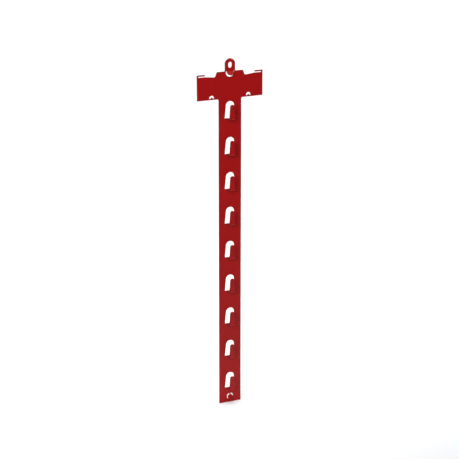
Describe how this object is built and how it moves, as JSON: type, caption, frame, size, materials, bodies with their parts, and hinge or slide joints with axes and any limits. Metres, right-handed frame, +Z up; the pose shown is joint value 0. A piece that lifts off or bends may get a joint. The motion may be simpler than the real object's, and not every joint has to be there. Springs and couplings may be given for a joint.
{
  "type": "hanging hook strip",
  "caption": "T-shaped painted steel hanging strip with a slotted eye, a row of arched windows and a lift-out upturned hook blade on each window sill.",
  "frame": {"origin": "centre of the hang slot's top arc, at the middle of the plate's thickness, where the peg that carries the strip bears", "axes": "+Z up along the strip, +X along the head to the viewer's right, -Y out of the front, the way the hooks stand"},
  "size_m": [0.1448, 0.0176, 0.7677],
  "materials": {
    "red_paint": "satin powder coat",
    "red_paint_hook": "satin powder coat"
  },
  "bodies": {
    "root": {"back_plate": "red_paint"},
    "hook_1": {"hook_1": "red_paint_hook"},
    "hook_2": {"hook_2": "red_paint_hook"},
    "hook_3": {"hook_3": "red_paint_hook"},
    "hook_4": {"hook_4": "red_paint_hook"},
    "hook_5": {"hook_5": "red_paint_hook"},
    "hook_6": {"hook_6": "red_paint_hook"},
    "hook_7": {"hook_7": "red_paint_hook"},
    "hook_8": {"hook_8": "red_paint_hook"},
    "hook_9": {"hook_9": "red_paint_hook"}
  },
  "joints": [
    {"name": "hook_1_lift", "type": "slide", "parent": "root", "child": "hook_1", "axis": [0, 0, 1], "range_m": [0, 0.0155]},
    {"name": "hook_2_lift", "type": "slide", "parent": "root", "child": "hook_2", "axis": [0, 0, 1], "range_m": [0, 0.0155]},
    {"name": "hook_3_lift", "type": "slide", "parent": "root", "child": "hook_3", "axis": [0, 0, 1], "range_m": [0, 0.0155]},
    {"name": "hook_4_lift", "type": "slide", "parent": "root", "child": "hook_4", "axis": [0, 0, 1], "range_m": [0, 0.0155]},
    {"name": "hook_5_lift", "type": "slide", "parent": "root", "child": "hook_5", "axis": [0, 0, 1], "range_m": [0, 0.0155]},
    {"name": "hook_6_lift", "type": "slide", "parent": "root", "child": "hook_6", "axis": [0, 0, 1], "range_m": [0, 0.0155]},
    {"name": "hook_7_lift", "type": "slide", "parent": "root", "child": "hook_7", "axis": [0, 0, 1], "range_m": [0, 0.0155]},
    {"name": "hook_8_lift", "type": "slide", "parent": "root", "child": "hook_8", "axis": [0, 0, 1], "range_m": [0, 0.0155]},
    {"name": "hook_9_lift", "type": "slide", "parent": "root", "child": "hook_9", "axis": [0, 0, 1], "range_m": [0, 0.0155]}
  ]
}
